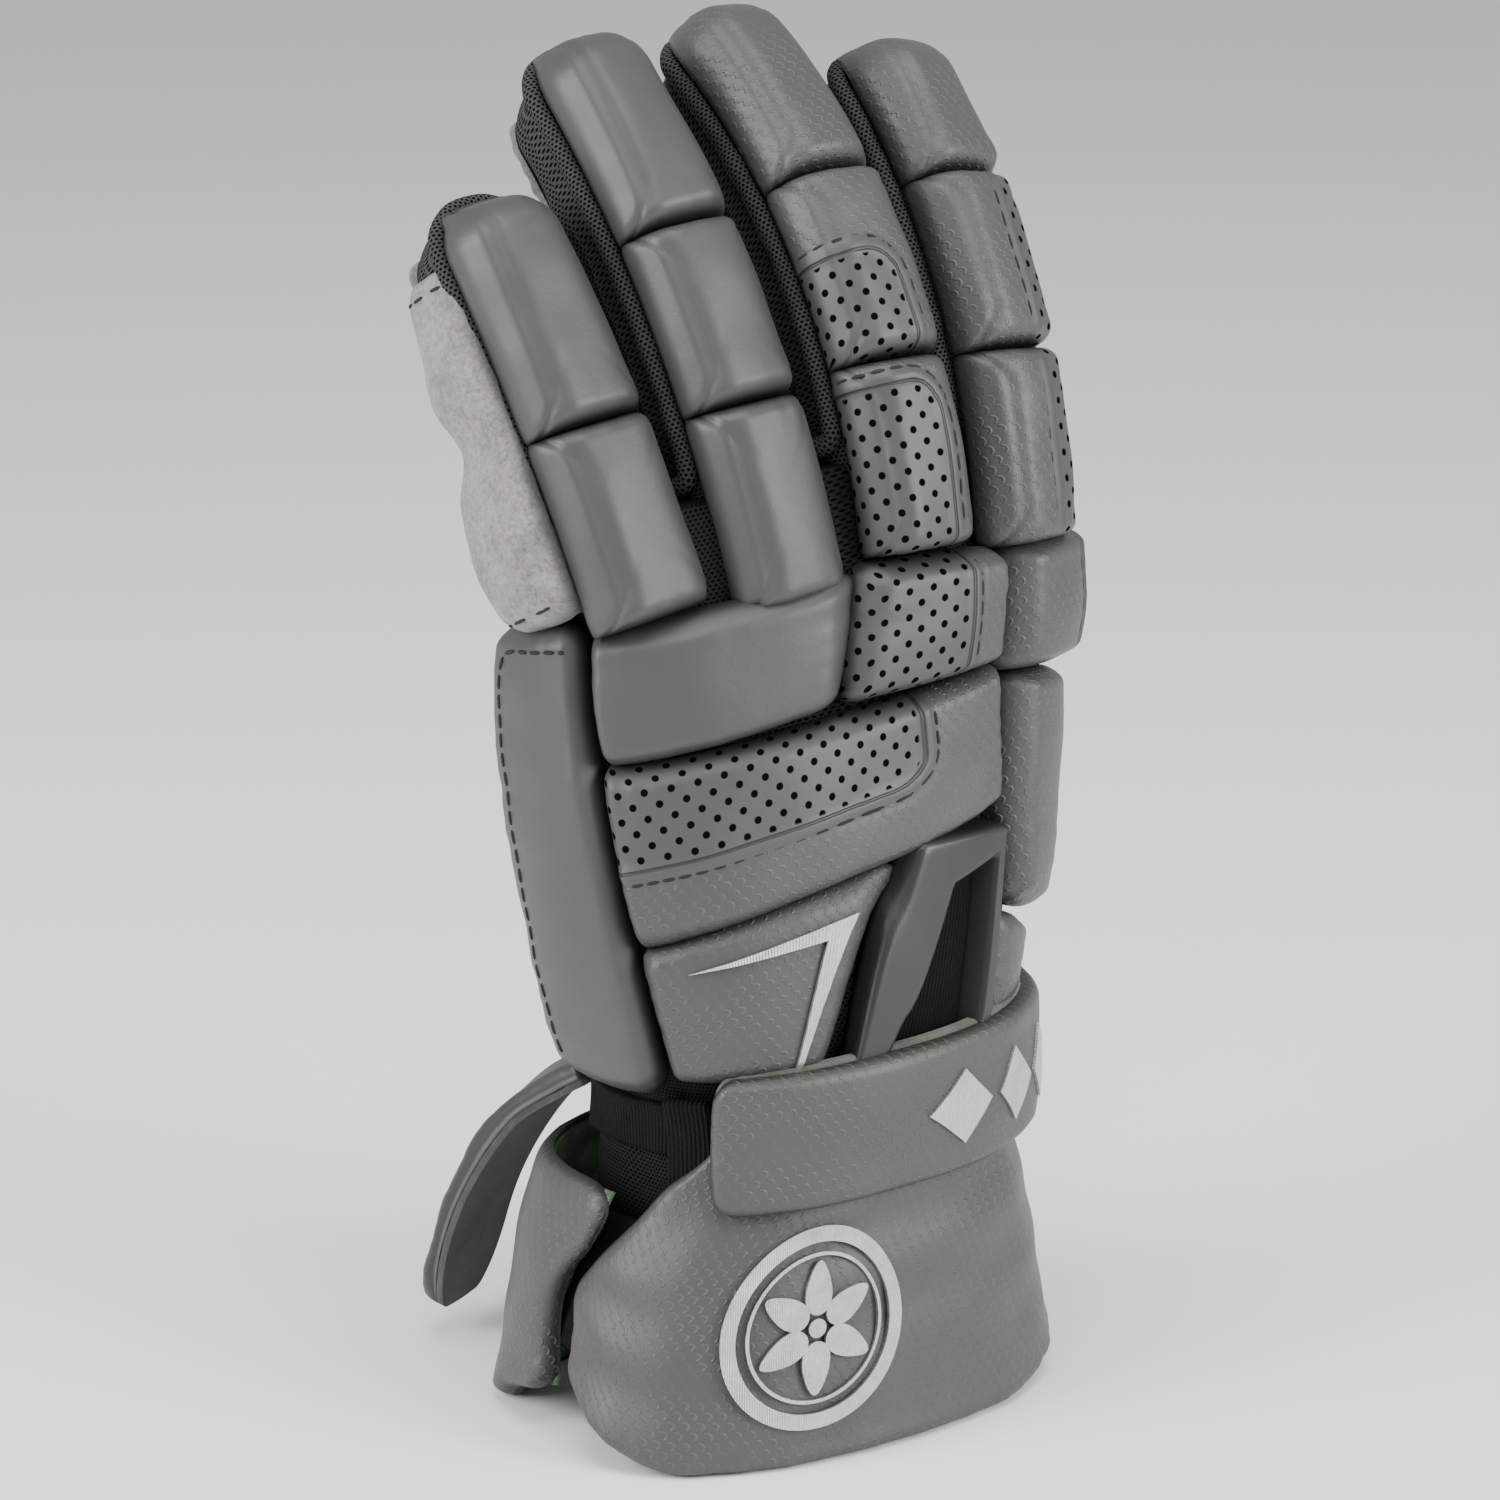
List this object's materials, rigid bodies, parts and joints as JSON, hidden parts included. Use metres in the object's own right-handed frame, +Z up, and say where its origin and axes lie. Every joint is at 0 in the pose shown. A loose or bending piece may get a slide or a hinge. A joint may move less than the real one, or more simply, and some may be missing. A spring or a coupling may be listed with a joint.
{
  "type": "lacrosse glove",
  "caption": "Padded left-hand lacrosse glove standing on its flared cuff, with segmented finger and back-of-hand pads, wrist strap, wrist guard and open hollow for the hand.",
  "frame": {"origin": "on the floor under the middle of the bounding box, where the cuff's rim stands", "axes": "+Z up from the cuff to the fingertips, -Y out of the back of the hand, +X toward the thumb side"},
  "size_m": [0.1592, 0.1594, 0.3222],
  "materials": {
    "leather": "smooth satin grey leather",
    "embossed_leather": "grey leather embossed with fine scales",
    "mesh": "dark grey perforated mesh cloth",
    "suede": "soft light grey suede",
    "elastic": "ribbed black elastic and webbing",
    "guard_plastic": "satin dark grey moulded plastic",
    "silver_trim": "soft silver film"
  },
  "bodies": {
    "root": {"wrist_shell": "mesh", "hand_shell": "mesh", "knuckle_shell": "mesh", "little_stall": "mesh", "ring_stall": "mesh", "middle_stall": "mesh", "index_stall": "mesh", "thumb_stall": "mesh", "knuckle_pad_outer": "leather", "knuckle_pad_middle": "embossed_leather", "knuckle_pad_index": "embossed_leather", "back_band": "embossed_leather", "wrist_pad": "embossed_leather", "outer_flap": "leather", "thumb_side_pad": "embossed_leather", "thumb_side_strip": "embossed_leather", "little_pad_lower": "leather", "little_pad_tip": "leather", "ring_pad_lower": "leather", "ring_pad_middle": "leather", "ring_pad_tip": "leather", "middle_pad_lower": "embossed_leather", "middle_pad_middle": "embossed_leather", "middle_pad_tip": "embossed_leather", "index_pad_lower": "embossed_leather", "index_pad_middle": "embossed_leather", "index_pad_tip": "embossed_leather", "thumb_pad_lower": "leather", "thumb_pad_tip": "leather", "wrist_strap": "embossed_leather", "strap_keeper": "elastic", "wrist_elastic": "elastic", "wrist_guard": "guard_plastic", "guard_backing": "elastic", "wrist_trim": "silver_trim", "cuff_front": "embossed_leather", "cuff_outer": "embossed_leather", "cuff_thumb": "embossed_leather", "cuff_wedge_outer": "elastic", "cuff_wedge_thumb": "elastic", "cuff_badge": "silver_trim", "strap_tab": "leather", "palm_suede": "suede", "little_suede": "suede", "ring_suede": "suede", "middle_suede": "suede", "index_suede": "suede", "thumb_suede": "suede", "little_side_patch": "suede"}
  },
  "joints": []
}
